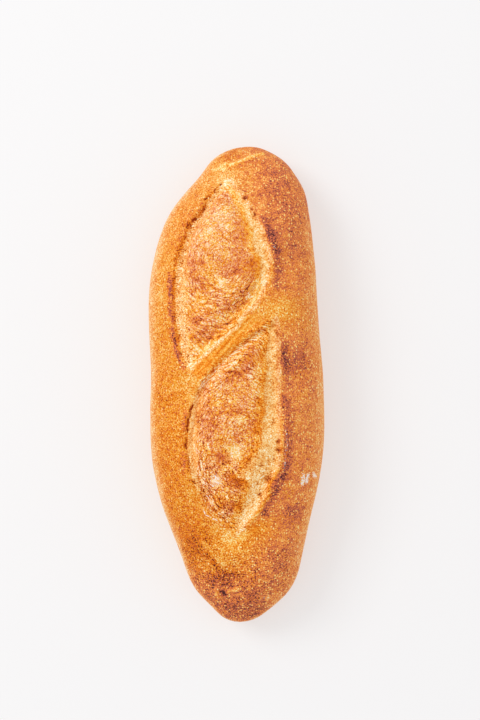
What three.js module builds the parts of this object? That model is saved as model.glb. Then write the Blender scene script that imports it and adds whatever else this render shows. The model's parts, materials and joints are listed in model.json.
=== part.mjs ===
// A short, broad baguette loaf as it leaves the oven: one solid with a flat underside, a rounded crown and
// two long slashes that opened while it baked. Each slash is a leaf-shaped field of torn dough between lips
// of crust, and a strap of crust runs slantwise between the two fields.
// Millimetres, +Z up, the length along Y, origin on the underside below the middle of the loaf.
import * as THREE from "three";
import { mergeVertices } from "three/addons/utils/BufferGeometryUtils.js";

const { clamp, lerp, mapLinear, smoothstep } = THREE.MathUtils;

// Whole loaf
const LENGTH = 320;
const WAIST = 26; // height of the widest line above the board, at the middle
const WAIST_FALL = 5; // how much lower that line lies at the tips
const CROWN_SHARE = 0.79; // rise of the crown above the waist, per millimetre of half width
const CROWN_FULLNESS = 2.25; // exponent of the upper section: 2 is an ellipse, more is fuller
const SOLE_FULLNESS = 3.2; // exponent of the section below the waist
const SOLE_PRESS = 1.12; // depth of the section below the waist before the board flattens it, in waists
const TIP_LIFT = 18; // exponent that keeps the sole down almost to the tips
const SHOULDER = 0.35; // share of the crown's rise over which its relief sets in above the waist

// Plan form. Each pair is a place along the loaf, from -1 at one tip to 1 at the other, and a size in mm.
// The half width is the spread times the half circle sqrt(1 - place * place), which rounds both tips.
const SPREAD = [
  [-1, 57], [-0.95, 56], [-0.86, 61.5], [-0.7, 57.8], [-0.3, 60], [0, 57.7],
  [0.2, 58.2], [0.5, 62.7], [0.8, 67.5], [0.88, 66.5], [0.96, 71], [1, 67],
];
const SWAY = [[-1, 3], [-0.8, 4.2], [-0.5, 0.7], [0, 0.5], [0.4, -2.5], [0.7, 1.5], [0.86, 7.5], [1, 7]];

// Slashes. Each edge is a list of [y, x] on the crown, from the foot of the slash to its head.
// The upper slash's right edge starts along the top of the strap, and the lower one's left edge ends along
// the bottom of it.
const UPPER_LEFT = [
  [7, -28.6], [14, -34.5], [30, -40.3], [52, -42.3], [80, -38.5], [100, -32.5], [121, -19.3], [136, -4.9],
];
const STRAP_TOP = [[7, -28.6], [25, -14], [40, 0.4], [53, 14.8], [63, 21]];
const UPPER_RIGHT = [[84, 23.3], [103, 18.5], [123, 5], [136, -4.9]];
const LOWER_LEFT = [[-99, -1.5], [-85, -15.8], [-68, -24.5], [-45, -31.5], [-21, -30], [0, -24.3]];
const STRAP_BOTTOM = [[11, -17.1], [22, -6], [32, 7.6], [38, 17.6], [43, 26.8]];
const LOWER_RIGHT = [[-99, -1.5], [-88, 8.5], [-72, 19], [-56, 26.6], [-41, 29.3], [-1, 28.4], [43, 26.8]];
const NEAR_TROUGH = 3.6; // how far the torn margin along a left edge lies below the crown
const FAR_TROUGH = 0.9; // the same along a right edge, where the crumb stretches up to the lip
const NEAR_WALL = 3.2; // width over which a left edge's lip drops to its trough
const FAR_WALL = 5.5;
const FIELD_SWELL = 1.2; // how far the middle of a field stands above the crown
const NEAR_MARGIN = 9; // width of the torn margin along a left edge
const FAR_MARGIN = 17; // width of the torn margin along a right edge
const NEAR_LIP = 1.1; // height of a left edge's lip
const FAR_LIP = 1.6; // height of a right edge's lip, the ear
const LIP_WIDTH = 6;
const TIP_FADE = 18; // length over which lips and troughs run out at the ends of a slash
const SOFT_FADE = 45; // the same for the lower slash's left edge, which melts into the crust at its foot

// Tucks: short creases at the ends where the dough was folded in, each from one point to another.
const TUCKS = [
  { from: [-10, 145], to: [14, 154], depth: 1.3 },
  { from: [-13, -143], to: [5, -136], depth: 1.6 },
];
const TUCK_WIDTH = 2.6;

// Hand-shaped unevenness of the crust: waves of a given length across X and along Y.
const WAVES = [
  { height: 0.55, across: 74, along: 118, turn: 0.4 },
  { height: 0.4, across: -47, along: 69, turn: 2.1 },
  { height: 0.3, across: 33, along: -41, turn: 4.4 },
];

// Mesh. Rows run round the loaf and columns along it. Two rows follow the edges of the strap and two columns
// the outer edges of the slashes, and the others stand closer together beside these guides.
const TOP_ROWS = 40; // from the far tip to the top of the strap
const STRAP_ROWS = 6;
const BOTTOM_ROWS = 50;
const TOP_GUIDE = { y: 36, left: -12, right: 74 }; // row on the strap's top: its middle, and at the flanks
const BOTTOM_GUIDE = { y: 22, left: -20, right: 50 };
const FLANK = 58; // half width at the strap
const LEFT_COLUMNS = 17; // from under the middle to the left edges
const FIELD_COLUMNS = 20;
const RIGHT_COLUMNS = 19;
const GUIDE_GAP = 7; // least distance of a guiding column from the middle of its slash
const TIP_GUIDES = 0.35; // where the guiding columns end at the tips, as a share of the half width
const GUIDE_FADE = 24; // length past the slashes over which they come to that
const GUIDE_WEIGHT = 2.2; // extra weight beside a guide
const GUIDE_REACH = 6;
const SOLE_WEIGHT = 0.3; // weight of the flat underside, against 1 on the crown
const TIP_WEIGHT = 3; // extra weight at the tips
const TIP_REACH = 7;
const WEIGHING_STEPS = 1200; // steps in which rows and columns are weighed before they are placed
const MERGE_DISTANCE = 1e-3;

// A smooth function through [place, value] pairs.
function spline(stations) {
  const places = stations.map(([place]) => place);
  const values = stations.map(([, value]) => value);
  const curve = new THREE.CubicInterpolant(places, values, 1);
  return (place) => curve.evaluate(clamp(place, places[0], places.at(-1)))[0];
}

const bell = (distance, width) => Math.exp(-((distance / width) ** 2));

// One edge of a slash: the distance of a point to the right of it, measured square to the edge.
function edge(stations) {
  const x = spline(stations);
  const step = 0.5;
  return (px, py) => {
    const slope = (x(py + step) - x(py - step)) / (2 * step);
    return (px - x(py)) / Math.hypot(1, slope);
  };
}

const SLASHES = [
  { left: UPPER_LEFT, right: [...STRAP_TOP, ...UPPER_RIGHT], leftFade: TIP_FADE },
  { left: [...LOWER_LEFT, ...STRAP_BOTTOM], right: LOWER_RIGHT, leftFade: SOFT_FADE },
].map(({ left, right, leftFade }) => ({
  foot: left[0][0],
  head: left.at(-1)[0],
  left: edge(left),
  right: edge(right),
  leftFade,
}));

// Height that a slash adds to the crown: lips outside its edges, troughs inside and a swollen field between.
function slashRelief({ foot, head, left, right, leftFade }, x, y) {
  if (y <= foot || y >= head) return 0;
  const open = smoothstep(Math.min(y - foot, head - y), 0, TIP_FADE);
  const leftOpen = open * smoothstep(y - foot, 0, leftFade);
  const [near, far] = [left(x, y), -right(x, y)];
  if (near < 0) return leftOpen * NEAR_LIP * bell(near, LIP_WIDTH);
  if (far < 0) return open * FAR_LIP * bell(far, LIP_WIDTH);
  const lips = leftOpen * NEAR_LIP * bell(near, NEAR_WALL / 2) + open * FAR_LIP * bell(far, FAR_WALL / 2);
  const nearField = smoothstep(near, NEAR_WALL, NEAR_MARGIN);
  const farField = smoothstep(far, FAR_WALL, FAR_MARGIN);
  const nearTrough = NEAR_TROUGH * Math.sqrt(leftOpen) * smoothstep(near, 0, NEAR_WALL) * (1 - nearField);
  const farTrough = FAR_TROUGH * Math.sqrt(open) * smoothstep(far, 0, FAR_WALL) * (1 - farField);
  return lips - Math.max(nearTrough, farTrough) + FIELD_SWELL * open * nearField * farField;
}

// Depth of a tuck's crease, deepest along its middle and running out at both ends.
function tuckRelief({ from, to, depth }, x, y) {
  const [dx, dy] = [to[0] - from[0], to[1] - from[1]];
  const length = Math.hypot(dx, dy);
  const along = ((x - from[0]) * dx + (y - from[1]) * dy) / length;
  const aside = ((x - from[0]) * dy - (y - from[1]) * dx) / length;
  return -depth * bell(aside, TUCK_WIDTH) * bell(along - length / 2, length / 2);
}

function waveRelief({ height, across, along, turn }, x, y) {
  return height * Math.sin(2 * Math.PI * (x / across + y / along) + turn);
}

function crownRelief(x, y) {
  const heights = [
    ...SLASHES.map((slash) => slashRelief(slash, x, y)),
    ...TUCKS.map((tuck) => tuckRelief(tuck, x, y)),
    ...WAVES.map((wave) => waveRelief(wave, x, y)),
  ];
  return heights.reduce((sum, height) => sum + height, 0);
}

const spread = spline(SPREAD);
const sway = spline(SWAY);

// Sizes of the dough's section at a distance along the loaf.
function sectionAt(y) {
  const place = clamp((2 * y) / LENGTH, -1, 1);
  const half = spread(place) * Math.sqrt(1 - place * place);
  const waist = WAIST - WAIST_FALL * place ** 4;
  return {
    centre: sway(place),
    half,
    waist,
    rise: CROWN_SHARE * half,
    drop: SOLE_PRESS * waist * Math.sqrt(1 - Math.abs(place) ** TIP_LIFT),
  };
}

// A line across the crown along an edge of the strap, carried on to the flanks.
function acrossCrown(stations, { left, right }) {
  return spline([[-FLANK, left], ...stations.map(([y, x]) => [x, y]), [FLANK, right]]);
}

const strapTop = acrossCrown(STRAP_TOP, TOP_GUIDE);
const strapBottom = acrossCrown([LOWER_LEFT.at(-1), ...STRAP_BOTTOM], BOTTOM_GUIDE);

// How far along the loaf a row lies, at a share of the half width: -1 on the left flank, 1 on the right.
function slantedY(rowY, share) {
  const [top, bottom] = [strapTop(share * FLANK), strapBottom(share * FLANK)];
  if (rowY > TOP_GUIDE.y) return mapLinear(rowY, TOP_GUIDE.y, LENGTH / 2, top, LENGTH / 2);
  if (rowY < BOTTOM_GUIDE.y) return mapLinear(rowY, -LENGTH / 2, BOTTOM_GUIDE.y, -LENGTH / 2, bottom);
  return mapLinear(rowY, BOTTOM_GUIDE.y, TOP_GUIDE.y, bottom, top);
}

// Point of the dough before slashing, at a turn that runs from 0, under the middle, through the left flank,
// the crown and the right flank back to 1.
function doughPoint(rowY, turn) {
  const angle = 2 * Math.PI * turn;
  const [side, up] = [-Math.sin(angle), -Math.cos(angle)];
  const fullness = up > 0 ? CROWN_FULLNESS : SOLE_FULLNESS;
  const bulge = (share) => Math.sign(share) * Math.abs(share) ** (2 / fullness);
  const y = slantedY(rowY, bulge(side));
  const { centre, half, waist, rise, drop } = sectionAt(y);
  const z = Math.max(0, waist + (up > 0 ? rise : drop) * bulge(up));
  const shoulder = up > 0 ? smoothstep(bulge(up), 0, SHOULDER) : 0;
  return { x: centre + half * bulge(side), y, z, shoulder };
}

// Point of the crust: the dough with the relief of the crown raised square to it.
function crustPoint(rowY, turn) {
  const { x, y, z, shoulder } = doughPoint(rowY, turn);
  if (shoulder === 0) return new THREE.Vector3(x, y, z);
  const step = 1e-4;
  const [before, after] = [doughPoint(rowY, turn - step), doughPoint(rowY, turn + step)];
  const outward = new THREE.Vector2(before.z - after.z, after.x - before.x).normalize();
  const relief = shoulder * crownRelief(x, y);
  return new THREE.Vector3(x + relief * outward.x, y, z + relief * outward.y);
}

// Cuts a stretch, whose weight is given step by step, into parts of equal weight: a count of parts from each
// guide to the next. Gives the cuts in steps.
function guidedCuts(weights, guides, counts) {
  const cuts = counts.flatMap((count, piece) => {
    let step = guides[piece];
    let passed = 0;
    const part = weights.slice(step, guides[piece + 1]).reduce((sum, weight) => sum + weight, 0) / count;
    return [...Array(count).keys()].map((cut) => {
      while (passed + weights[step] < cut * part) passed += weights[step++];
      return step + (cut * part - passed) / (weights[step] || 1);
    });
  });
  return [...cuts, weights.length];
}

const STEPS = [...Array(WEIGHING_STEPS).keys()];

// Places of the rows along Y, from the far tip to the near one.
function rowPlaces() {
  const placeOf = (step) => LENGTH / 2 - (LENGTH * step) / WEIGHING_STEPS;
  const stepOf = (y) => Math.round(((LENGTH / 2 - y) * WEIGHING_STEPS) / LENGTH);
  const strapMiddle = (TOP_GUIDE.y + BOTTOM_GUIDE.y) / 2;
  const strapReach = TOP_GUIDE.y - BOTTOM_GUIDE.y + GUIDE_REACH;
  const weights = STEPS.map((step) => {
    const y = placeOf(step + 0.5);
    const toTip = LENGTH / 2 - Math.abs(y);
    return 1 + GUIDE_WEIGHT * bell(y - strapMiddle, strapReach) + TIP_WEIGHT * Math.exp(-toTip / TIP_REACH);
  });
  const guides = [0, stepOf(TOP_GUIDE.y), stepOf(BOTTOM_GUIDE.y), WEIGHING_STEPS];
  return guidedCuts(weights, guides, [TOP_ROWS, STRAP_ROWS, BOTTOM_ROWS]).map(placeOf);
}

const leftGuide = spline([...LOWER_LEFT, ...UPPER_LEFT]);
const rightGuide = spline([...LOWER_RIGHT, ...UPPER_RIGHT]);

// Where the two guiding columns lie across the loaf.
function guidesAt(y) {
  const { centre, half } = sectionAt(y);
  const past = Math.max(y - SLASHES[0].head, SLASHES[1].foot - y);
  const beyond = smoothstep(past, 0, GUIDE_FADE);
  const middle = (leftGuide(y) + rightGuide(y)) / 2;
  const left = Math.min(leftGuide(y), middle - GUIDE_GAP);
  const right = Math.max(rightGuide(y), middle + GUIDE_GAP);
  return [lerp(left, centre - TIP_GUIDES * half, beyond), lerp(right, centre + TIP_GUIDES * half, beyond)];
}

// Turns of a row's columns.
function columnTurns(rowY) {
  const points = [...STEPS, WEIGHING_STEPS].map((step) => doughPoint(rowY, step / WEIGHING_STEPS));
  const asides = points.map(({ x, y }) => guidesAt(y).map((guide) => x - guide));
  const weights = STEPS.map((step) => {
    const [point, next] = [points[step], points[step + 1]];
    const length = Math.hypot(next.x - point.x, next.y - point.y, next.z - point.z);
    if (point.z === 0) return length * SOLE_WEIGHT;
    const beside = Math.max(...asides[step].map((aside) => bell(aside, GUIDE_REACH)));
    return length * (1 + GUIDE_WEIGHT * point.shoulder * beside);
  });
  const crown = WEIGHING_STEPS / 4;
  const [left, right] = [0, 1].map((guide) =>
    asides.findIndex((aside, step) => step > crown && aside[guide] >= 0),
  );
  const guides = [0, left, right, WEIGHING_STEPS];
  const cuts = guidedCuts(weights, guides, [LEFT_COLUMNS, FIELD_COLUMNS, RIGHT_COLUMNS]);
  return cuts.map((step) => (step % WEIGHING_STEPS) / WEIGHING_STEPS);
}

// Corners of the triangles of a grid of points, each quad cut along its shorter diagonal.
function gridTriangles(points, rows, columns) {
  const corners = [];
  for (let row = 0; row < rows; row++) {
    for (let column = 0; column < columns; column++) {
      const a = row * (columns + 1) + column;
      const [b, c, d] = [a + 1, a + columns + 2, a + columns + 1];
      const cutAtA = points[a].distanceTo(points[c]) < points[b].distanceTo(points[d]);
      corners.push(...(cutAtA ? [a, c, b, a, d, c] : [a, d, b, b, d, c]));
    }
  }
  return corners;
}

// A grid of rows and columns wrapped round the loaf. Where a row shrinks to a tip, its triangles without a
// width are left out.
function loafGeometry() {
  const rows = TOP_ROWS + STRAP_ROWS + BOTTOM_ROWS;
  const columns = LEFT_COLUMNS + FIELD_COLUMNS + RIGHT_COLUMNS;
  const points = rowPlaces().flatMap((rowY) => columnTurns(rowY).map((turn) => crustPoint(rowY, turn)));
  const grid = new THREE.BufferGeometry().setFromPoints(points);
  grid.setIndex(gridTriangles(points, rows, columns));
  const geometry = mergeVertices(grid, MERGE_DISTANCE);
  const corners = geometry.getIndex().array;
  const wide = (corner) => {
    const first = corner - (corner % 3);
    return new Set(corners.slice(first, first + 3)).size === 3;
  };
  geometry.setIndex([...corners].filter((_, corner) => wide(corner)));
  geometry.computeBoundingBox();
  const middle = geometry.boundingBox.getCenter(new THREE.Vector3());
  geometry.translate(-middle.x, -middle.y, -geometry.boundingBox.min.z);
  geometry.computeVertexNormals();
  return geometry;
}

const crust = new THREE.MeshStandardMaterial({ color: 0xc67a34, roughness: 0.72, metalness: 0 });
const loaf = new THREE.Mesh(loafGeometry(), crust);
loaf.name = "loaf";

const baguette = new THREE.Group();
baguette.name = "baguette";
baguette.add(loaf);

export default baguette;
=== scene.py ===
# A short, broad baguette loaf, baked on a hearth: golden on the side of the light, ruddy on the other, with
# two slashes that opened over torn crumb. The loaf lies on a plain pale floor, seen from straight above.
import json
import bpy
import numpy as np
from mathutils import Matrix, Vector, noise

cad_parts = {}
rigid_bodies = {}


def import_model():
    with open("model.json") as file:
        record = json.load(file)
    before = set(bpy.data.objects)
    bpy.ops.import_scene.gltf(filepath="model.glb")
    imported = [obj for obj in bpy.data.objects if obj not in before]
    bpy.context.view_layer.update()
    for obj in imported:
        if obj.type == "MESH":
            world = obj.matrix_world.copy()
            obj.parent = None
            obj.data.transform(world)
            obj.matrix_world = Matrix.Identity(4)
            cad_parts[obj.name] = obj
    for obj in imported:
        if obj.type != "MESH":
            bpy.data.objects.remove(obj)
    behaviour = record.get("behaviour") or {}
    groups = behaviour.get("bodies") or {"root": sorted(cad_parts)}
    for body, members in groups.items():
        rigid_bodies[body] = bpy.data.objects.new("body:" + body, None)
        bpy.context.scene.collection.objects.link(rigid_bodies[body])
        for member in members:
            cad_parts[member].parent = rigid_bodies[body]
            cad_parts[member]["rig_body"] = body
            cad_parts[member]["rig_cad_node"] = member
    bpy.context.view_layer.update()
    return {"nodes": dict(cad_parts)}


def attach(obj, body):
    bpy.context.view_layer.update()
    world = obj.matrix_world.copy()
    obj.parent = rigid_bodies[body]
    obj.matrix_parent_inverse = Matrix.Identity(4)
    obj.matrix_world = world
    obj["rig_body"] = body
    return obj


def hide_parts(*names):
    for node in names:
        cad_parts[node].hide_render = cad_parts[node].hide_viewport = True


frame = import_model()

# Lengths are in millimetres, and MM turns them to metres.
MM = 0.001

# View. The photo is 480 by 720 pixels and taken from straight above.
CAMERA_HEIGHT = 1000
CAMERA_OVER = (2.35, 16.4)  # point of the floor below the camera
VIEW_LENGTH = 495  # length of floor that the long side of the photo shows
SENSOR = 36

# Edges of the slashes as (y, x) on the crown, from the foot of a slash to its head.
UPPER_LEFT = [
    (7, -28.6), (13, -32), (29, -36.8), (42, -39.2), (55, -39.8), (72, -39.2), (83, -37), (92, -33.5),
    (100, -31), (107, -26.5), (115, -20.8), (121, -17.6), (127, -12.8), (136, -4.9),
]
STRAP_TOP = [(7, -28.6), (11, -26.6), (21, -17), (28, -9.3), (36, -0.2), (44, 6.2), (53, 15.8), (63, 21)]
UPPER_RIGHT = STRAP_TOP + [
    (78, 23.6), (88, 21.9), (94, 20), (101, 18.4), (107, 15.3), (114, 11.3), (120, 7.5), (127, 3),
    (136, -4.9),
]
STRAP_BOTTOM = [(5, -23.4), (11, -17.9), (20, -7.6), (29, 2), (35, 8.8), (40, 16.2), (45.6, 26.4)]
LOWER_LEFT = [
    (-99, -1.5), (-85, -15.8), (-68, -24.5), (-58, -29), (-45, -31.2), (-21, -30), (-8, -27.5), (0, -24.6),
] + STRAP_BOTTOM
LOWER_RIGHT = [
    (-99, -1.5), (-92, 6.9), (-84, 14), (-74, 19.4), (-68, 22.3), (-64, 21.6), (-60, 23.4), (-55, 27.7),
    (-48, 29.6), (-22, 29), (3, 28.3), (36, 27.7), (45.6, 26.4),
]

# Widths of the pale torn margins inside those edges, as (y, width).
UPPER_LEFT_MARGIN = [(7, 2), (16, 5), (30, 7.5), (52, 8), (70, 7), (90, 4), (110, 3.5), (136, 4)]
UPPER_RIGHT_MARGIN = [
    (7, 2.5), (25, 2.5), (45, 3), (58, 4.5), (66, 7), (78, 9), (95, 10), (107, 7.5), (114, 6), (127, 4),
    (136, 5),
]
LOWER_LEFT_MARGIN = [(-99, 0), (-70, 0.5), (-60, 3.5), (-45, 6), (-20, 5.5), (-4, 4.5), (3, 0), (45.6, 0)]
LOWER_RIGHT_MARGIN = [
    (-99, 0.5), (-93, 4), (-87, 9.5), (-76, 13), (-68, 14), (-60, 16), (-50, 21), (-44, 18), (-38, 15),
    (-22, 13), (-8, 11.5), (5, 11), (25, 9), (45.6, 4),
]

# Strokes on the crown: the corners of each as (x, y), its half width and its strength.
# Cracks along the slashes' left lips, browner as painted shade in the crevices and as darker-baked crust.
SHADED_CRACKS = [
    ([(-13.2, 127.8), (-20.2, 120.5)], 0.9, 0.9), ([(-20.2, 116), (-23.8, 108.8)], 0.9, 0.9),
    ([(-26.8, 107.8), (-32.6, 102.2)], 0.9, 0.9), ([(-29.1, 104.5), (-31.1, 100.2)], 1.2, 0.8),
    ([(-32.6, 97), (-35, 91.4), (-38.3, 84.9)], 0.9, 0.8),
    ([(-38.3, 84.9), (-39.9, 75.4), (-40.9, 62)], 0.8, 0.8), ([(-40.6, 60), (-39.5, 42)], 0.8, 0.5),
    ([(-24.6, -2.5), (-23.8, -6.5)], 0.7, 0.7), ([(-28, -12), (-30.4, -22), (-31, -29.5)], 0.9, 0.8),
    ([(-31.4, -31), (-32, -41)], 0.9, 0.8), ([(-31.2, -45), (-30.4, -52), (-28.8, -57)], 0.9, 0.7),
    ([(-28.4, -60), (-25.8, -64.5)], 0.9, 0.6),
]
# Dark openings in the cracks: painted shade inside them, on dark-baked crust.
SHADED_HOLES = [
    ([(-9.4, 130.8), (-9.9, 130.2)], 1.1, 1), ([(-18.6, 122), (-20, 120.4)], 0.9, 1),
    ([(-20, 115.6), (-21, 113.6)], 0.8, 0.9), ([(-26.4, 108), (-28.4, 106.4)], 1, 1.2),
    ([(-30.4, 104), (-31.6, 103)], 0.8, 0.9), ([(-29.4, 103.6), (-29.8, 102.6)], 0.8, 0.9),
    ([(-36.4, 21), (-35.6, 18.5)], 0.8, 0.8), ([(-22.2, 2.9), (-22.2, 1.7)], 0.9, 1),
    ([(-28, -12.6), (-28.5, -14.8)], 1.1, 1.2), ([(-29.6, -17.6), (-30, -20.4)], 0.8, 1),
    ([(-30.6, -22), (-31.2, -25.4)], 1.1, 1.1), ([(-31, -27.4), (-31.2, -29.4)], 0.9, 1),
    ([(-32, -34.4), (-31.9, -36)], 0.9, 0.9), ([(-32.2, -38), (-32, -41)], 1, 1.1),
    ([(-31.2, -46), (-31, -49)], 0.9, 0.9),
]
# Dark purple-brown bands along the lips: partly scorched crust, partly painted shade beside the lips.
SCORCHED_AND_SHADED = [
    ([(-43, 71), (-42.8, 55), (-41.8, 42), (-40.5, 29), (-38.7, 21), (-36.4, 15.5), (-33.5, 11.5)],
     1.7, 0.21),
    ([(-30, 111), (-34.5, 99), (-39, 88)], 2.6, 0.08), ([(-32.6, -17), (-34, -27)], 1.8, 0.15),
    ([(-34, -44), (-33.4, -56)], 1.7, 0.1), ([(16.6, 108), (20.5, 100)], 2.2, 0.24),
    ([(20.5, 100), (24, 92), (26, 86)], 3.2, 0.28), ([(26, 86), (26.8, 77), (25.5, 64)], 2.2, 0.19),
    ([(30.4, 26), (31.4, 9)], 2.4, 0.18), ([(31, -8), (32.6, -20)], 2.2, 0.22),
    ([(32.8, -22), (33, -38), (32.3, -50), (30, -58)], 2.8, 0.22),
    ([(30, -58), (26.8, -63), (25, -67)], 3.2, 0.32), ([(25, -67), (20.5, -76), (16.5, -82)], 3, 0.26),
]
LIPS = [
    ([(29, -19), (29.4, -48), (27.4, -54)], 0.9, 0.6), ([(27.4, -54), (23, -60), (20.8, -64.5)], 1.3, 1),
    ([(20.8, -64.5), (21.4, -69.5), (18.2, -75), (13.6, -82.5), (7, -90.5)], 1.4, 1),
    ([(23.4, 78), (20.8, 65), (16.8, 54)], 1, 0.7),
]
# A dark orange line along the strap's lower edge: painted shade under the strap's step, on browned crust.
STRAP_SHADE_LINE = [([(17.3, 39.7), (9.6, 34.5), (3.1, 28.7), (-7.2, 18.9), (-15, 12.5), (-22.2, 4.8)], 1.6, 1)]
PALE_FLAKES = [
    ([(12, 67.4), (18.2, 66.6)], 0.9, 1), ([(-20.8, 2.6), (-24, -2)], 0.9, 0.9),
    ([(-8.6, 132.8), (-3.6, 133.6), (0, 129)], 1, 0.7), ([(-10.5, 69), (-9.5, 62)], 1.2, 0.6),
]
ARCS = [
    ([(-26.5, 62.2), (-22.8, 61), (-19.5, 57.7), (-17.1, 53.7), (-11.4, 51.7), (-5.8, 52.5)], 0.8, 0.8),
    ([(-5.8, 52.5), (-0.9, 55.3), (3.2, 58.6), (8.8, 65.1)], 0.8, 0.9),
    ([(-25.2, 53.7), (-17.1, 48.8), (-9, 47.2), (-1.7, 49.6), (4, 54.7)], 0.8, 0.6),
    ([(-24.4, 42.4), (-19.5, 39.5), (-13.9, 37.9), (-8.2, 38.3), (-4.1, 39.9), (0.7, 44), (4, 47.2)],
     0.8, 1),
    ([(-23, 33.4), (-17, 33.4), (-11.4, 34.3), (-7.4, 35.9)], 0.8, 0.6),
    ([(-24.4, 27.8), (-21.2, 30.6), (-18, 29.4), (-17.2, 27)], 0.7, 0.6),
    ([(-28.6, 79), (-24, 77.6), (-19, 72)], 0.8, 0.5), ([(5, 38), (-4, 29.5), (-12, 21)], 0.8, 0.5),
    ([(12, 52), (6, 45), (-2, 36)], 0.8, 0.5),
    ([(-5.8, -16.9), (-1.7, -15.7), (2.4, -16.9), (4.8, -18)], 0.9, 1.1),
    ([(-5.6, 8.9), (0.5, 8.2), (6.7, 9.2)], 0.9, 1.2), ([(-9, 4.5), (-3, 6.4), (2, 5.6)], 0.8, 0.8),
    ([(9, 19), (11, 15), (10.6, 12)], 0.8, 0.7),
]
# Creases in the crumb, darker as painted shade in them.
SHADED_CRUMB_CREASES = [
    ([(20.5, -14.8), (24.4, -12.8), (28.3, -12.2)], 0.9, 1), ([(27, 22), (26.5, 12), (23, 8)], 1, 0.7),
]
FLOUR_STROKES = [
    ([(-19.1, -71), (-14.5, -76.4)], 0.9, 0.85), ([(-22, -79), (-18.4, -84.8)], 0.9, 0.85),
    ([(-18.2, -84.6), (-13, -86.8)], 1.1, 0.95), ([(-27, -37.5), (-24.3, -43.3)], 0.9, 0.95),
    ([(31.6, -28), (32.4, -39), (30.4, -54)], 1.4, 0.72), ([(12, -143), (25, -136)], 2.6, 0.5),
    ([(43.4, -58.4), (42.6, -65)], 1.7, 0.75), ([(46.8, -57.6), (45.4, -63.6)], 1.7, 0.75),
    ([(50, -57.6), (52.4, -60.6)], 1.7, 0.75),
]

# Spots on the crown: (x, y, reach in x, reach in y, amount). First where the crust browned more or less.
BROWNED_CRUST = [
    (39, 15, 9, 9, 0.2), (37, -83, 8, 6.5, 0.22), (27, 133, 11, 14, 0.08), (33, 108, 14, 22, 0.09),
    (-45, -7, 8, 4, 0.08), (-47, -33, 6, 4, 0.07), (-44, -60, 14, 40, 0.11), (-28, -105, 12, 14, 0.28),
    (-10, -126, 8, 5, 0.12), (22, -110, 16, 9, 0.08), (30, -132, 12, 11, -0.12), (-5, -126, 14, 9, 0.08),
    (-45, 12, 6, 4, 0.06), (-6, 136, 12, 9, -0.2), (-7, 153, 9, 5, 0.06), (24, 50, 14, 9, -0.14),
    (-29, 4, 8, 7, -0.12), (-1, -99, 9, 5, -0.2), (24, -141, 7, 3, -0.2), (16, 116, 5, 5, -0.16),
    (-50, 60, 8, 22, -0.05), (44, -22, 8, 12, -0.04), (-4, 149, 10, 3, 0.08), (42, 37, 8, 8, -0.04),
]
BROWNED_FIELDS = [
    (4, 97, 6, 9, 0.16), (-23.6, 80, 9, 3, 0.08), (2, 75, 9, 6, 0.17), (-20, 62, 8, 3, 0.1),
    (-27, 39, 4, 8, 0.1), (-17, 31, 8, 2.5, 0.07), (12, 79, 4, 8, 0.17), (-9, 106, 6, 6, -0.14),
    (-10, 66, 3, 4, -0.24), (-24, 54, 6, 4, -0.16), (-19, 24, 7, 3, -0.18), (-21, 98, 5, 12, -0.08),
    (0, 8.6, 7, 3, 0.15), (-1, -15, 8, 4, 0.12), (-20, -22, 8, 6, 0.08), (-9.3, -46, 4, 3.5, 0.3),
    (2, -62.5, 6.5, 6, 0.3), (0.4, -78, 4.5, 3, 0.22), (12, -22, 4, 8, 0.12), (10, 18, 6, 5, 0.14),
    (-1, -42.7, 4.5, 5, -0.3), (2.4, -21, 3, 2, -0.2), (-12, -72, 8, 8, 0.08), (-4, -30, 5, 3, -0.1),
    (8, -50, 4, 8, 0.1),
]
GOLDEN_FOOT = [(0, -103, 14, 10, 0.9), (15, -92, 11, 7, 0.9)]
# Pits in the crumb, darker as painted shade in the holes and as reddish crust.
SHADED_CRUMB_PITS = [
    (26.8, -36.2, 1.4, 1.5, 1), (27.2, -41.4, 1.8, 1.5, 1), (20, -60.2, 2.4, 2.2, 0.9),
    (15.3, -70, 1.5, 1.2, 1), (16, -51, 1.5, 1, 0.7), (24, -47, 1.2, 1.2, 0.5), (5.6, 120.9, 1.7, 1.2, 1),
    (10.1, 113.8, 1.1, 1.1, 0.9), (12.1, 110.5, 1.1, 1.3, 0.9), (26.4, 33, 1.2, 3, 0.5),
    (-37.2, 31, 1.2, 3, 0.4),
]
FLOUR_SPOTS = [
    (47, -61, 8, 6, 0.35), (46.5, 21.6, 3.5, 4.5, 0.75), (-13, -61, 8, 8, 0.85), (24.5, 89, 2.5, 5, 0.75),
    (-10, 66, 2.5, 4, 0.75), (40, 55, 5, 5, 0.62), (22, -141, 6, 3, 0.4), (-25.6, 115.5, 2, 2, 0.8),
    (-5, 134, 5, 4, 0.6),
]

# Folds at the ends where the dough was tucked in.
TOP_TUCK = [
    ([(-14, 142), (-9.5, 143.6), (-5, 146.2)], 1, 0.7), ([(-9, 141.4), (-6.6, 142.6)], 1, 0.8),
    ([(-3.6, 144.4), (3, 147), (9, 149.6), (17, 152.8)], 1.1, 1),
]
TOP_TUCK_SHADE = [([(-6, 141), (4, 145.6), (12, 149)], 1.3, 1)]
BOTTOM_TUCK = [
    ([(-6, -135), (1.5, -133)], 1.2, 0.9), ([(-12.6, -133), (-13.4, -138)], 1.1, 0.7),
    ([(-12, -139.8), (-5, -138.6)], 1.1, 0.7),
]
# A dark hole in the bottom tuck: painted shade in the opening.
SHADED_BOTTOM_HOLE = (-8.2, -136.4, 1.5, 1.7, 1)  # in the form of the spots
BOTTOM_FOLD = [([(-22, -102), (-16, -108), (-12, -113), (-9, -117.5)], 1.3, 1)]
BOTTOM_FOLD_SHADE = [([(-19, -111), (-14.5, -115), (-9, -121), (0, -123)], 2.2, 1)]

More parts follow.
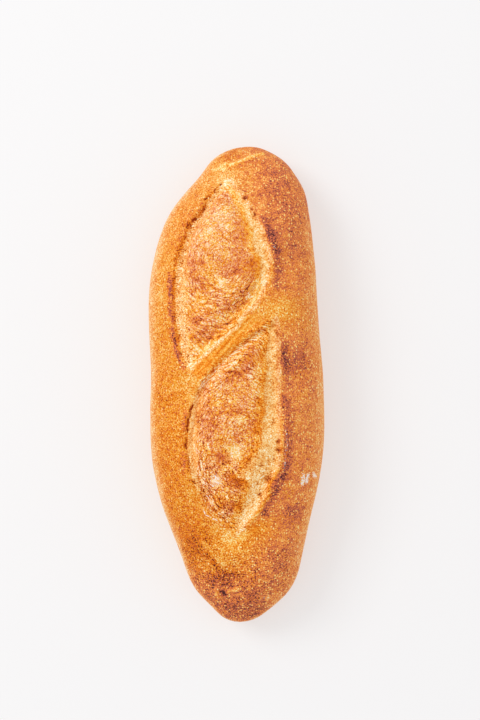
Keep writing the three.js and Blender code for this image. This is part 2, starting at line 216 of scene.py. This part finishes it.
# Flow of the torn skin: rings round the middle of each field, and along the strap between them. Patterns in
# the flow come out finer across it than the size that they are given.
UPPER_MIDDLE = (-9, 82)
LOWER_MIDDLE = (1, -36)
RING_STRETCH = 1.5  # length of a ring, along the loaf, for each unit of its width
RING_FINENESS = 4.6  # times finer across the rings
RING_PATTERN = 18  # radius of the circle of pattern that every ring shows, drawn out on the long ones
STRAP_FINENESS = 3.2  # times finer across the strap, and every way where nothing flows
STRAP_WAY = (0.663, 0.749)  # direction of the strap
STREAK_SPACING = 3.4
WRINKLE_SPACING = 3.3

# How far each zone browned, from unbaked, 0, to burnt, 1.
CRUST_BROWNING = 0.42
STRAP_BROWNING = 0.4
FIELD_BROWNING = 0.41
CRUMB_BROWNING = 0.3
LIP_BROWNING = 0.48
# The lit rim's browning is paler, as painted bounce light and sheen on the flanks.
LIT_RIM_BROWNING = 0.22
FLANK_BROWNING = 0.3

# Relief that the bake gives, in height above the dough. Below zero it sinks in.
RELIEF = {
    "cracks": -1.6, "pits": -1.4, "folds": 0.8, "lumps": 0.5, "wrinkles": 0.5, "streaks": 0.3, "tucks": 0.9,
    "blisters": 0.4,
}

# Staging.
FLOOR_SIDE = 4000
FLOOR_GREY = "#b3b3b3"
FLOOR_GLOW = "#fffdfe"
FLOOR_GLOW_STRENGTH = 0.47
SKY_WHITE = "#ffffff"
SKY_STRENGTH = 0.8
LAMP_PLACE = (-1400, 900, 1700)
LAMP_SIDE = 1000
LAMP_WATTS = 20


def smooth(value, low, high):
    """0 below low, 1 above high and a soft step between."""
    share = np.clip((value - low) / (high - low), 0, 1)
    return share * share * (3 - 2 * share)


def bell(distance, width):
    """1 at no distance, falling off softly on both sides."""
    return np.exp(-((distance / width) ** 2))


def curve(stations, places):
    """Smooth curve through (place, value) stations: its value and its slope at each place."""
    at, values = np.array(stations, float).T
    secants = np.diff(values) / np.diff(at)
    slopes = np.concatenate([secants[:1], (secants[1:] + secants[:-1]) / 2, secants[-1:]])
    places = np.clip(places, at[0], at[-1])
    part = np.clip(np.searchsorted(at, places, side="right") - 1, 0, len(secants) - 1)
    length = at[part + 1] - at[part]
    share = (places - at[part]) / length
    left = 1 - share
    value = (
        values[part] * (1 + 2 * share) * left**2
        + values[part + 1] * share**2 * (3 - 2 * share)
        + length * share * left * (slopes[part] * left - slopes[part + 1] * share)
    )
    slope = (
        6 * share * left * secants[part]
        + slopes[part] * left * (1 - 3 * share)
        - slopes[part + 1] * share * (2 - 3 * share)
    )
    return value, slope


def right_of(edge, x, y):
    """Distance of points to the right of a slash's edge, square to it."""
    value, slope = curve(edge, y)
    return (x - value) / np.hypot(1, slope)


def only(piece):
    """Makes a piece the only one that operators act on."""
    bpy.ops.object.select_all(action="DESELECT")
    bpy.context.view_layer.objects.active = piece
    piece.select_set(True)


def apply_modifier(piece, kind, **settings):
    """Reshapes a piece's mesh by one modifier for good."""
    modifier = piece.modifiers.new(kind.title(), kind)
    for name, value in settings.items():
        setattr(modifier, name, value)
    only(piece)
    bpy.ops.object.modifier_apply(modifier=modifier.name)


def model_loaf():
    """The dough: a copy of the solid, its triangles joined to quads and smoothed."""
    only(frame["nodes"]["loaf"])
    bpy.ops.object.duplicate()
    piece = bpy.context.active_object
    piece.name = "baked_loaf"
    piece.parent = None
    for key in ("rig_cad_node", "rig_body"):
        del piece[key]
    bpy.ops.mesh.customdata_custom_splitnormals_clear()
    bpy.ops.object.mode_set(mode="EDIT")
    bpy.ops.mesh.select_all(action="SELECT")
    bpy.ops.mesh.remove_doubles(threshold=0.01 * MM)
    bpy.ops.mesh.tris_convert_to_quads(face_threshold=np.pi, shape_threshold=np.pi)
    bpy.ops.object.mode_set(mode="OBJECT")
    apply_modifier(piece, "SUBSURF", levels=2, render_levels=2)
    only(piece)
    bpy.ops.object.shade_smooth()
    return piece


def points_of(piece):
    """Places of a piece's points."""
    points = np.empty(len(piece.data.vertices) * 3)
    piece.data.vertices.foreach_get("co", points)
    return points.reshape(-1, 3) / MM


def upward_of(piece):
    """How far the surface at each point looks up: 1 on flat ground, 0 on a wall."""
    normals = np.empty(len(piece.data.vertices) * 3)
    piece.data.vertices.foreach_get("normal", normals)
    return normals.reshape(-1, 3)[:, 2]


def paint(piece, name, values):
    """Values of the points that the crust's material reads, one number or three for each."""
    kind, field_name = ("FLOAT", "value") if values.ndim == 1 else ("FLOAT_VECTOR", "vector")
    layer = piece.data.attributes.new(name, kind, "POINT")
    layer.data.foreach_set(field_name, values.astype(np.float32).ravel())


def rings(middle):
    """Points laid out for a pattern that runs in rings round a middle, fine across them and long along."""
    aside = np.column_stack([x - middle[0], (y - middle[1]) / RING_STRETCH])
    reach = np.linalg.norm(aside, axis=1, keepdims=True) + 1
    return np.hstack([RING_PATTERN * aside / reach, RING_FINENESS * reach])


def lumps(size, seed):
    """Smooth noise between about -1 and 1, with lumps of a size in mm: one size, or one for each axis."""
    return np.array([noise.noise(Vector(place)) for place in points / np.array(size) + seed])


def pits(size, seed, share):
    """Round pits of a size in mm, in a share of the places that could have one."""
    cells = [noise.voronoi(Vector(place)) for place in points / size + seed]
    near = np.array([distances[0] for distances, _ in cells])
    chosen = np.array([noise.cell(centres[0] * 7.3) for _, centres in cells])
    return smooth(-near, -0.45, -0.15) * (chosen < share)


def spots(places):
    """Sum of soft round spots, each (x, y, reach in x, reach in y, amount), fading out down the flanks."""
    total = np.zeros(len(points))
    for spot_x, spot_y, reach_x, reach_y, amount in places:
        total += amount * bell(np.hypot((x - spot_x) / reach_x, (y - spot_y) / reach_y), 1)
    return total * smooth(z, 12, 30)


def strokes(lines):
    """The strongest of soft strokes through corners, each (corners, half width, amount), above the sole."""
    total = np.zeros(len(points))
    for corners, width, amount in lines:
        for start, end in zip(corners, corners[1:]):
            way = np.subtract(end, start)
            aside = wavering - start
            along = np.clip(aside @ way / (way @ way), 0, 1)
            distance = np.linalg.norm(aside - np.outer(along, way), axis=1)
            total = np.maximum(total, amount * bell(distance, width))
    return total * (z > 12)


def press(piece, name, weights, direction="NORMAL"):
    """Gives a piece one kind of relief, as far as the weights of its points say."""
    group = piece.vertex_groups.new(name=name)
    for index in np.flatnonzero(weights > 0.001):
        group.add([int(index)], float(weights[index]), "REPLACE")
    apply_modifier(
        piece, "DISPLACE", strength=RELIEF[name] * MM, mid_level=0, vertex_group=name, direction=direction)


class Slash:
    """Zones of one opened slash at the loaf's points: the distances from its edges, all inside it, the torn
    crumb along its sides and the inner edge of the crumb at the right. Below left_foot its left side melts
    into the crust."""

    def __init__(self, left, right, left_margin, right_margin, left_foot):
        foot, head = left[0][0], left[-1][0]
        self.along = (y > foot) & (y < head) & (z > 30)
        self.near = right_of(left, x, y) + ragged
        self.far = -right_of(right, x, y) + ragged
        open_left = smooth(y, foot, left_foot)
        blur = 1 - open_left
        near_inside = smooth(self.near, -0.6 - 7 * blur, 1 + 9 * blur)
        self.inside = self.along * near_inside * smooth(self.far, -0.6, 0.8)
        near_width = np.maximum(curve(left_margin, y)[0], 0.1) * (1 + 0.4 * patchy + 0.4 * frayed)
        far_width = np.maximum(curve(right_margin, y)[0], 0.1) * (1 + 0.15 * patchy + 0.15 * frayed)
        near_crumb = (1 - smooth(self.near, 0.6 * near_width, 1.2 * near_width)) * open_left
        far_crumb = 1 - smooth(self.far, 0.8 * far_width, 1.05 * far_width)
        self.crumb = self.inside * np.maximum(near_crumb * (curve(left_margin, y)[0] > 0.5), far_crumb)
        self.edge = self.inside * bell(self.far - 1.1 * far_width, 2.5)


# Zones of the loaf at its points, 0 outside and 1 inside, with noise that makes their edges ragged.
loaf = model_loaf()
points = points_of(loaf)
x, y, z = points.T
upward = upward_of(loaf)
ragged = 0.9 * lumps(7, 3.1) + 0.6 * lumps(2.6, 8.4)
frayed = lumps(3.4, 6.6)
patchy = lumps(9, 1.7) + 0.5 * lumps(4, 14.2)
wavering = points[:, :2] + np.column_stack([lumps(4, 23.3), lumps(4, 12.9)])

upper = Slash(UPPER_LEFT, UPPER_RIGHT, UPPER_LEFT_MARGIN, UPPER_RIGHT_MARGIN, 10)
lower = Slash(LOWER_LEFT, LOWER_RIGHT, LOWER_LEFT_MARGIN, LOWER_RIGHT_MARGIN, -58)
strap = upper.along * lower.along * smooth(-upper.far, -0.6, 0.8) * smooth(-lower.near, -0.6, 0.8)
strap *= 1 - smooth(x, 8, 26)
saddle = bell(np.hypot((x - 27) / 15, (y - 48) / 10), 1)
lip = strokes(LIPS)
torn = np.maximum(upper.inside, lower.inside)
crumb = np.maximum(upper.crumb, lower.crumb) * (1 - lip)
field = torn * (1 - crumb)
margin_edge = np.maximum(upper.edge, lower.edge) * (1 - lip)
shaded_crack = strokes(SHADED_CRACKS)
shaded_hole = strokes(SHADED_HOLES)
scorch_and_shade = strokes(SCORCHED_AND_SHADED) * (1 + 0.25 * patchy)
strap_shade_line = strokes(STRAP_SHADE_LINE)
arcs = strokes(ARCS)
shaded_creases = strokes(SHADED_CRUMB_CREASES)
shaded_pit = np.clip(spots(SHADED_CRUMB_PITS) + 0.35 * crumb * pits(4.2, 4.4, 0.12) * smooth(x, 0, 10), 0, 1)
top_tuck = strokes(TOP_TUCK)
bottom_tuck = strokes(BOTTOM_TUCK)
fold = strokes(BOTTOM_FOLD)
shaded_bottom_hole = spots([SHADED_BOTTOM_HOLE])
gold_foot = np.clip(spots(GOLDEN_FOOT), 0, 1) * (1 - torn * smooth(y, -97, -91))
along_strap = x * STRAP_WAY[0] + y * STRAP_WAY[1]
across_strap = x * STRAP_WAY[1] - y * STRAP_WAY[0]
streaks = strap * np.sin(across_strap * 2 * np.pi / STREAK_SPACING + 2 * lumps(13, 5.5))
upper_rings = rings(UPPER_MIDDLE)
arched = field * upper.inside * smooth(-y, -84, -66)
wrinkles = arched * smooth(lumps(8, 2.6), -0.4, 0.2)
ring_reach = upper_rings[:, 2] / RING_FINENESS
wrinkles *= np.sin(ring_reach * 2 * np.pi / WRINKLE_SPACING + 2.5 * lumps(9, 7.7))
flow = points * STRAP_FINENESS
flow[strap > 0.5] = np.column_stack([along_strap, across_strap * STRAP_FINENESS, z])[strap > 0.5]
flow[upper.inside > 0.5] = upper_rings[upper.inside > 0.5]
flow[lower.inside > 0.5] = rings(LOWER_MIDDLE)[lower.inside > 0.5]
sole = 1 - smooth(z, 1, 8)
rightward = smooth(x, 10, 40)
# Painted light: a paler, pinker band where the flanks turn down, for floor-bounced light and glancing sheen,
# and crust browned less there; less of it away from the lamp.
lit_rim = 0.9 * (1 - smooth(upward, 0.2, 0.6 + 0.2 * rightward)) * (1 - sole)
lit_rim *= (1 - smooth(z, 50, 60)) * (1 - torn)
lit_rim *= 1 - smooth(y, 90, 120) * smooth(x, -20, 20)
lit_rim = np.maximum(lit_rim, 0.1 * smooth(y, 70, 115) * (1 - 0.7 * smooth(x, 10, 30)))
flank = (1 - smooth(upward, -0.1, 0.25)) * (1 - sole)

# Browning of each zone, painted shade and light among it, and where it is uneven, floured, ruddy, amber,
# blushed or flaky.
crust_browning = CRUST_BROWNING + 0.02 * smooth(x, -20, 20) + 0.18 * smooth(-y, 108, 145)
crust_browning += spots(BROWNED_CRUST) + scorch_and_shade
crust_browning = crust_browning * (1 - strap) + (STRAP_BROWNING + 0.06 * smooth(-x, -5, 20)) * strap
# Painted light: paler skin below the strap's step, against the step's shade, where a pale band also runs.
lit_under_strap = lower.inside * bell(lower.near - 6, 2.5) * smooth(y, 0, 8)
field_spots = spots(BROWNED_FIELDS)
field_browning = FIELD_BROWNING + 0.02 * smooth(-y, 45, 65) + 0.04 * smooth(-y, -60, -20)
field_browning += field_spots + 0.06 * patchy
field_browning += 0.02 * arched - 0.06 * bell(y - 15, 20) - 0.1 * lit_under_strap
# Painted shade: crumb next to a lip is browner and duskier, as in the lip's shadow.
shaded_lip_side = np.maximum(
    upper.inside * (1 - smooth(upper.far, 1, 5)), lower.inside * (1 - smooth(lower.far, 1, 5)))
crumb_browning = CRUMB_BROWNING + 0.05 * shaded_lip_side + 0.06 * patchy + 0.03 * upper.inside
crumb_browning += lower.inside * (0.05 * smooth(y, -40, -10) + 0.03 * smooth(-x, 10, 20))
crumb_browning -= 0.02 * smooth(-y, 55, 65)
crumb_browning -= 0.1 * upper.inside * smooth(-y, -52, -44) * (1 - smooth(upper.far, 3, 6))
browning = crust_browning * (1 - field - crumb) + field_browning * field + crumb_browning * crumb
browning = browning * (1 - lip) + LIP_BROWNING * lip
browning = browning * (1 - lit_rim) + (LIT_RIM_BROWNING + 0.04 * rightward) * lit_rim
browning = browning * (1 - flank) + FLANK_BROWNING * flank
browning += 0.1 * strap_shade_line + 0.08 * streaks - 0.04 * wrinkles + 0.24 * arcs + 0.3 * shaded_crack
browning += 0.1 * margin_edge * (lower.inside * smooth(y, -52, -40) - upper.inside)
browning += 0.6 * shaded_pit + 0.2 * shaded_creases + 0.2 * sole + 0.5 * shaded_bottom_hole + 0.12 * strokes(TOP_TUCK_SHADE)
browning += 0.12 * strokes(BOTTOM_FOLD_SHADE)
browning -= 0.3 * top_tuck + 0.35 * bottom_tuck + 0.2 * fold + 0.25 * strokes(PALE_FLAKES)
unevenness = (1 + 0.25 * smooth(-y, 90, 120)) * (1 - 0.4 * strap)
unevenness *= (1 - 0.12 * upper.inside) * (1 + 0.3 * lower.inside * smooth(-y, 35, 60))
unevenness *= 1 - 1.5 * field * np.clip(np.abs(field_spots), 0, 0.25)
unevenness *= (1 - 0.2 * lower.crumb) * (1 + 0.4 * upper.crumb * smooth(-x, 5, 15)) * (1 - 0.45 * flank)
flour = np.clip(spots(FLOUR_SPOTS) + strokes(FLOUR_STROKES) + 0.72 * sole, 0, 1.3)
ruddy_side = smooth(x, -12, 25) * (0.85 + 0.3 * patchy) * (1 - 0.6 * saddle)
ruddy = np.maximum.reduce([
    0.03 + 0.2 * smooth(y, 70, 110) + ruddy_side, 0.8 * smooth(-y, 112, 135), np.clip(4 * scorch_and_shade, 0, 0.9)])
amber = np.maximum.reduce([
    0.75 * strap, 0.8 * saddle * (1 - torn), gold_foot, lip, strap_shade_line, top_tuck, 0.8 * margin_edge,
    0.8 * shaded_crack, 0.25 * lit_rim])
torn_skin = np.maximum(torn, 0.7 * strap)
blush = 0.44 + 0.12 * smooth(y, 60, 75) - 0.05 * smooth(-y, 45, 65)
blush = np.clip(blush + 1.2 * field_spots + 0.5 * patchy, 0, 1)
blush = np.maximum(blush * field * (1 - margin_edge) * (1 - 0.7 * lit_under_strap), shaded_lip_side * crumb)
flaky = np.maximum.reduce([
    0.6 * field, 0.85 * arched, 0.9 * strap, lower.inside * (1 - smooth(lower.near, 6, 18)), 0.3 * crumb])

# Relief of the torn skin, the crumb and the blistered crust.
folds = 1 - np.abs(lumps((6, 2.4, 6), 21.7) + 0.4 * lumps(2.2, 31.2))
crown = smooth(z, 30, 60)
press(loaf, "cracks", np.clip(0.5 * shaded_crack + 0.8 * shaded_hole + 0.7 * shaded_bottom_hole, 0, 1), "Z")
press(loaf, "pits", np.clip(shaded_pit + 0.4 * shaded_creases, 0, 1), "Z")
press(loaf, "folds", np.clip(field * folds * (1 - 0.6 * arched), 0, 1))
press(loaf, "lumps", crumb * (0.5 + 0.5 * lumps(3, 9.1)))
press(loaf, "wrinkles", np.clip(wrinkles, 0, 1))
press(loaf, "streaks", 0.5 * strap + 0.5 * streaks)
press(loaf, "tucks", np.clip(top_tuck + bottom_tuck + 0.7 * fold, 0, 1))
press(loaf, "blisters", (1 - torn) * np.clip(lumps(3.4, 17.9), 0, 1) * crown)

# What the crust's material reads.
# The painted bounce light and sheen as a blushed tint, weaker on the side away from the lamp and on the
# steepest flanks.
rosy_lit_rim = 0.6 * lit_rim * (1 - 0.4 * rightward) * (1 - 0.8 * flank)
pale_crumb = crumb * (1 - 0.5 * shaded_lip_side)
for name, values in {
    "browning": browning, "unevenness": unevenness, "torn": torn_skin, "crumb": pale_crumb, "shaded_hole": shaded_hole,
    "flour": flour, "ruddy": ruddy, "lit_rim": rosy_lit_rim, "amber": amber, "blush": blush, "flaky": flaky,
    "flow": flow * MM,
}.items():
    paint(loaf, name, values)


def linear(code):
    """Linear colour of an sRGB hex value."""
    channels = [int(code[at:at + 2], 16) / 255 for at in (1, 3, 5)]
    return [c / 12.92 if c <= 0.04045 else ((c + 0.055) / 1.055) ** 2.4 for c in channels] + [1]


def unlit(code, light):
    """The crust's own colour where it looks like an sRGB hex value under that much light."""
    own = [(seen - SHEEN) / light for seen in linear(code)[:3]]
    return [min(max(channel, DARKEST), 1) for channel in own] + [1]


def add_node(tree, kind, inputs=(), output=None, **settings):
    """Adds a node, sets it up and links or fills its inputs. Gives the output named, or else the node."""
    node = tree.nodes.new(kind)
    for name, value in settings.items():
        setattr(node, name, value)
    for name, value in dict(inputs).items():
        if isinstance(value, bpy.types.NodeSocket):
            tree.links.new(value, node.inputs[name])
        else:
            node.inputs[name].default_value = value
    return node.outputs[output] if output else node


# Colours as they look on the lit loaf, from pale to dark, each with its place on the way from unbaked, 0,
# to burnt, 1. The number before them is how brightly that part of the loaf is lit.
GOLDEN_CRUST = (1.12, [
    (0.0, "#ffe4ac"), (0.15, "#fcd080"), (0.3, "#f8b34e"), (0.42, "#f39c28"), (0.55, "#ec850f"),
    (0.65, "#e4740a"), (0.75, "#d5640c"), (0.85, "#b44f10"), (1.0, "#5a2812"),
])
RUDDY_CRUST = (0.87, [
    (0.0, "#ffcf80"), (0.15, "#fabb68"), (0.3, "#f3a554"), (0.42, "#e98e4a"), (0.55, "#d97a46"),
    (0.65, "#c86c47"), (0.75, "#b05c48"), (0.85, "#8e4b42"), (1.0, "#4c2a2a"),
])
AMBER_CRUST = (0.98, [
    (0.0, "#ffe8ac"), (0.1, "#fdd98a"), (0.2, "#fbc86c"), (0.3, "#f9b650"), (0.4, "#f7a43a"),
    (0.5, "#f29228"), (0.6, "#ea801b"), (0.7, "#de6e14"), (0.85, "#b05010"), (1.0, "#6a3010"),
])
TORN_SKIN = (1.02, [
    (0.0, "#fff0cc"), (0.1, "#fee5b0"), (0.2, "#fcd68a"), (0.3, "#fac462"), (0.4, "#f8b042"),
    (0.5, "#f39c2c"), (0.6, "#ec881c"), (0.7, "#e07316"), (0.8, "#ca5e16"), (0.9, "#a84816"),
    (1.0, "#743014"),
])
BLUSHED_SKIN = (1.02, [
    (0.0, "#fdecd6"), (0.1, "#fbdec0"), (0.2, "#f7cba5"), (0.3, "#f3b58a"), (0.4, "#ed9f70"),
    (0.5, "#e58a59"), (0.6, "#da7647"), (0.7, "#ca633b"), (0.8, "#b25034"), (0.9, "#90402a"),
    (1.0, "#602c1e"),
])
PALE_CRUMB = (0.92, [
    (0.0, "#fbf0d8"), (0.15, "#f7dcaa"), (0.3, "#f3c784"), (0.45, "#eeb060"), (0.6, "#e08e40"),
    (0.8, "#b45a26"), (1.0, "#783416"),
])
# Dark brown of the holes: painted shade inside them, on dark-baked crust.
HOLE_SHADE_BROWN = "#983406"
FLOUR_WHITE = "#fbf0e2"
SHEEN = 0.005  # what the crust's sheen adds to every colour, in linear light
DARKEST = 0.0015  # least of any channel, as nothing baked is quite black

# Sizes of the crust's patterns. Real grain is finer than the view's pixels of 0.7 mm, so it's drawn coarser.
GRAIN = 0.85
GRAIN_RELIEF = 0.5
HUE_GRAIN = 1.0
BLISTER = 1.5
CRUMB_CELL = 2.8
BLOTCH = 3.4
MOTTLE = 9
SWIRL = 16
CRUMB_SHIFT = 24  # how far the swirl shifts the crumb's cells
FLOW_SHIFT = 36  # how far it shifts the flow
FLAKE = 4  # in the flow
FLAKE_PIECE = 7  # in the flow, between seams


def baked_crust():
    """Wheat crust, baked dry: matt with a faint sheen, its blisters gold on a darker ground. The torn skin
    of the fields is flaky, golden with a blush, and the crumb at their margins pale."""
    material = bpy.data.materials.new("baked_wheat_crust")
    material.use_nodes = True
    tree = material.node_tree
    tree.nodes.clear()
    place = add_node(tree, "ShaderNodeTexCoord", output="Object")
    painted = {
        name: add_node(tree, "ShaderNodeAttribute", output="Fac", attribute_name=name)
        for name in (
            "browning", "unevenness", "torn", "crumb", "shaded_hole", "flour", "ruddy", "lit_rim", "amber", "blush",
            "flaky")
    }
    flow = add_node(tree, "ShaderNodeAttribute", output="Vector", attribute_name="flow")

    # Patterns.
    grain = add_node(tree, "ShaderNodeTexNoise", {
        "Vector": place, "Scale": 1 / (GRAIN * MM), "Detail": 0.0}, "Fac")
    blotches = add_node(tree, "ShaderNodeTexNoise", {
        "Vector": place, "Scale": 1 / (BLOTCH * MM), "Detail": 1.0, "Roughness": 0.6}, "Fac")
    mottle = add_node(tree, "ShaderNodeTexNoise", {
        "Vector": place, "Scale": 1 / (MOTTLE * MM), "Detail": 2.0, "Roughness": 0.6}, "Fac")
    swirl = add_node(tree, "ShaderNodeTexNoise", {
        "Vector": place, "Scale": 1 / (SWIRL * MM), "Detail": 0.0}, "Color")
    swirled = add_node(tree, "ShaderNodeVectorMath", {
        0: swirl, 1: [CRUMB_SHIFT * MM] * 3, 2: place}, "Vector", operation="MULTIPLY_ADD")
    flowing = add_node(tree, "ShaderNodeVectorMath", {
        0: swirl, 1: [FLOW_SHIFT * MM] * 3, 2: flow}, "Vector", operation="MULTIPLY_ADD")
    flakes = add_node(tree, "ShaderNodeTexNoise", {
        "Vector": flowing, "Scale": 1 / (FLAKE * MM), "Detail": 1.0, "Roughness": 0.5, "Distortion": 0.5},
        "Fac")
    about_zero = add_node(tree, "ShaderNodeMath", {0: flakes, 1: 0.5}, "Value", operation="SUBTRACT")
    flake_edge = add_node(tree, "ShaderNodeTexVoronoi", {
        "Vector": flowing, "Scale": 1 / (FLAKE_PIECE * MM)}, "Distance", feature="DISTANCE_TO_EDGE")
    seams = add_node(tree, "ShaderNodeMapRange", {
        "Value": flake_edge, "From Min": 0.0, "From Max": 0.13, "To Min": 0.34, "To Max": -0.12}, "Result")
    flaking = add_node(tree, "ShaderNodeMath", {0: about_zero, 1: seams}, "Value", operation="ADD")
    flaking = add_node(tree, "ShaderNodeMath", {
        0: flaking, 1: painted["flaky"]}, "Value", operation="MULTIPLY")
    net = add_node(tree, "ShaderNodeTexVoronoi", {
        "Vector": swirled, "Scale": 1 / (CRUMB_CELL * MM)}, "Distance", feature="DISTANCE_TO_EDGE")
    walls = add_node(tree, "ShaderNodeMapRange", {
        "Value": net, "From Min": 0.0, "From Max": 0.16, "To Min": 1.0, "To Max": 0.0}, "Result")
    blisters = add_node(tree, "ShaderNodeTexVoronoi", {"Vector": place, "Scale": 1 / (BLISTER * MM)})
    speck = add_node(tree, "ShaderNodeMapRange", {
        "Value": blisters.outputs["Distance"], "From Min": 0.15, "From Max": 0.55, "To Min": 1.0,
        "To Max": 0.0}, "Result", interpolation_type="SMOOTHSTEP")
    strewn = add_node(tree, "ShaderNodeSeparateColor", {"Color": blisters.outputs["Color"]}, "Red")
    strewn = add_node(tree, "ShaderNodeMapRange", {
        "Value": strewn, "From Min": 0.6, "From Max": 0.9}, "Result")
    specks = add_node(tree, "ShaderNodeMath", {0: speck, 1: strewn}, "Value", operation="MULTIPLY")

    # Golden crust, ruddy crust, torn skin and crumb: where each starts and how much each pattern browns it.
    surfaces = []
    for start, layers in (
        (-0.9, ((1.15, grain), (0.4, blotches), (-0.25, specks), (0.3, mottle))),
        (-0.72, ((0.9, grain), (0.4, blotches), (-0.75, specks), (0.35, mottle))),
        (-0.95, ((1.0, grain), (0.5, blotches), (0.9, flaking), (0.4, mottle))),
        (-0.84, ((1.0, grain), (0.45, blotches), (0.2, walls), (0.2, mottle))),
    ):
        surface = start
        for strength, pattern in layers:
            surface = add_node(tree, "ShaderNodeMath", {
                0: pattern, 1: strength, 2: surface}, "Value", operation="MULTIPLY_ADD")
        surfaces.append(surface)
    surface = surfaces[0]
    for zone, other in zip(("ruddy", "torn", "crumb"), surfaces[1:]):
        surface = add_node(tree, "ShaderNodeMix", {
            "Factor": painted[zone], "A": surface, "B": other}, "Result")
    shade = add_node(tree, "ShaderNodeMath", {
        0: surface, 1: painted["unevenness"], 2: painted["browning"]}, "Value", operation="MULTIPLY_ADD")

    # Colours of the browning, and where each of them shows.
    ramps = []
    for light, colours in (GOLDEN_CRUST, RUDDY_CRUST, AMBER_CRUST, TORN_SKIN, BLUSHED_SKIN, PALE_CRUMB):
        ramp = add_node(tree, "ShaderNodeValToRGB", {"Fac": shade})
        stops = ramp.color_ramp.elements
        while len(stops) < len(colours):
            stops.new(0.5)
        for stop, (at, code) in zip(stops, colours):
            stop.position = at
            stop.color = unlit(code, light)
        ramps.append(ramp.outputs["Color"])
    golden_crust, ruddy_crust, amber_crust, golden_skin, blushed_skin, crumb_colour = ramps
    hue = add_node(tree, "ShaderNodeTexNoise", {
        "Vector": place, "W": 4.2, "Scale": 1 / (HUE_GRAIN * MM), "Detail": 0.0},
        "Fac", noise_dimensions="4D")
    hue = add_node(tree, "ShaderNodeMath", {0: hue, 1: 0.5}, "Value", operation="SUBTRACT")
    reddened = add_node(tree, "ShaderNodeMath", {
        0: hue, 1: 2.6, 2: painted["ruddy"]}, "Value", operation="MULTIPLY_ADD", use_clamp=True)
    blushing = add_node(tree, "ShaderNodeMath", {
        0: hue, 1: 3.0, 2: painted["blush"]}, "Value", operation="MULTIPLY_ADD", use_clamp=True)
    dust = add_node(tree, "ShaderNodeMath", {
        0: grain, 1: 0.8, 2: flakes}, "Value", operation="MULTIPLY_ADD")
    dust = add_node(tree, "ShaderNodeMath", {0: dust, 1: painted["flour"]}, "Value", operation="MULTIPLY")
    dust = add_node(tree, "ShaderNodeMapRange", {
        "Value": dust, "From Min": 0.68, "From Max": 0.82, "To Min": 0.0, "To Max": 0.95}, "Result")
    # Painted shade in the holes along the cracks.
    ragged_shaded_hole = add_node(tree, "ShaderNodeMath", {
        0: blotches, 1: 0.8, 2: painted["shaded_hole"]}, "Value", operation="MULTIPLY_ADD")
    shaded_split = add_node(tree, "ShaderNodeMapRange", {
        "Value": ragged_shaded_hole, "From Min": 0.95, "From Max": 1.25, "To Min": 0.0, "To Max": 1.0}, "Result")
    skin = add_node(tree, "ShaderNodeMix", {
        "Factor": blushing, 6: golden_skin, 7: blushed_skin}, 2, data_type="RGBA")
    # The lit rim takes the blushed skin's colour, as painted bounce light and sheen.
    colour = golden_crust
    for share, other in (
        (reddened, ruddy_crust), (painted["lit_rim"], blushed_skin), (painted["torn"], skin),
        (painted["amber"], amber_crust), (painted["crumb"], crumb_colour), (shaded_split, linear(HOLE_SHADE_BROWN)),
        (dust, linear(FLOUR_WHITE)),
    ):
        colour = add_node(tree, "ShaderNodeMix", {
            "Factor": share, 6: colour, 7: other}, 2, data_type="RGBA")
    bump = add_node(tree, "ShaderNodeBump", {
        "Height": grain, "Distance": GRAIN_RELIEF * MM, "Strength": 0.12}, "Normal")
    shader = add_node(tree, "ShaderNodeBsdfPrincipled", {
        "Base Color": colour, "Roughness": 0.6, "Specular IOR Level": 0.08, "Normal": bump}, "BSDF")
    add_node(tree, "ShaderNodeOutputMaterial", {"Surface": shader})
    return material


loaf.data.materials.clear()
loaf.data.materials.append(baked_crust())
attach(loaf, "root")
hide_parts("loaf")


def plain_floor():
    """A pale floor, with a glow that keeps the loaf's shadow light."""
    bpy.ops.object.select_all(action="DESELECT")
    bpy.ops.mesh.primitive_plane_add(size=FLOOR_SIDE * MM)
    floor = bpy.context.active_object
    floor.name = "floor"
    material = bpy.data.materials.new("pale_floor")
    material.use_nodes = True
    shader = material.node_tree.nodes["Principled BSDF"]
    shader.inputs["Base Color"].default_value = linear(FLOOR_GREY)
    shader.inputs["Emission Color"].default_value = linear(FLOOR_GLOW)
    shader.inputs["Emission Strength"].default_value = FLOOR_GLOW_STRENGTH
    shader.inputs["Roughness"].default_value = 0.9
    shader.inputs["Specular IOR Level"].default_value = 0
    floor.data.materials.append(material)


plain_floor()

scene = bpy.context.scene
world = bpy.data.worlds.new("studio")
world.use_nodes = True
sky = world.node_tree.nodes["Background"]
sky.inputs["Color"].default_value = linear(SKY_WHITE)
sky.inputs["Strength"].default_value = SKY_STRENGTH
scene.world = world
scene.view_settings.view_transform = "Standard"


def soft_key():
    """A large soft lamp to the upper left that shines at the loaf."""
    data = bpy.data.lights.new("key", "AREA")
    data.size = LAMP_SIDE * MM
    data.energy = LAMP_WATTS
    lamp = bpy.data.objects.new("key", data)
    lamp.location = Vector(LAMP_PLACE) * MM
    lamp.rotation_euler = (-lamp.location).to_track_quat("-Z", "Y").to_euler()
    scene.collection.objects.link(lamp)


soft_key()

camera_data = bpy.data.cameras.new("camera")
camera_data.sensor_width = SENSOR
camera_data.lens = SENSOR * CAMERA_HEIGHT / VIEW_LENGTH
camera = bpy.data.objects.new("camera", camera_data)
camera.location = (CAMERA_OVER[0] * MM, CAMERA_OVER[1] * MM, CAMERA_HEIGHT * MM)
scene.collection.objects.link(camera)
scene.camera = camera
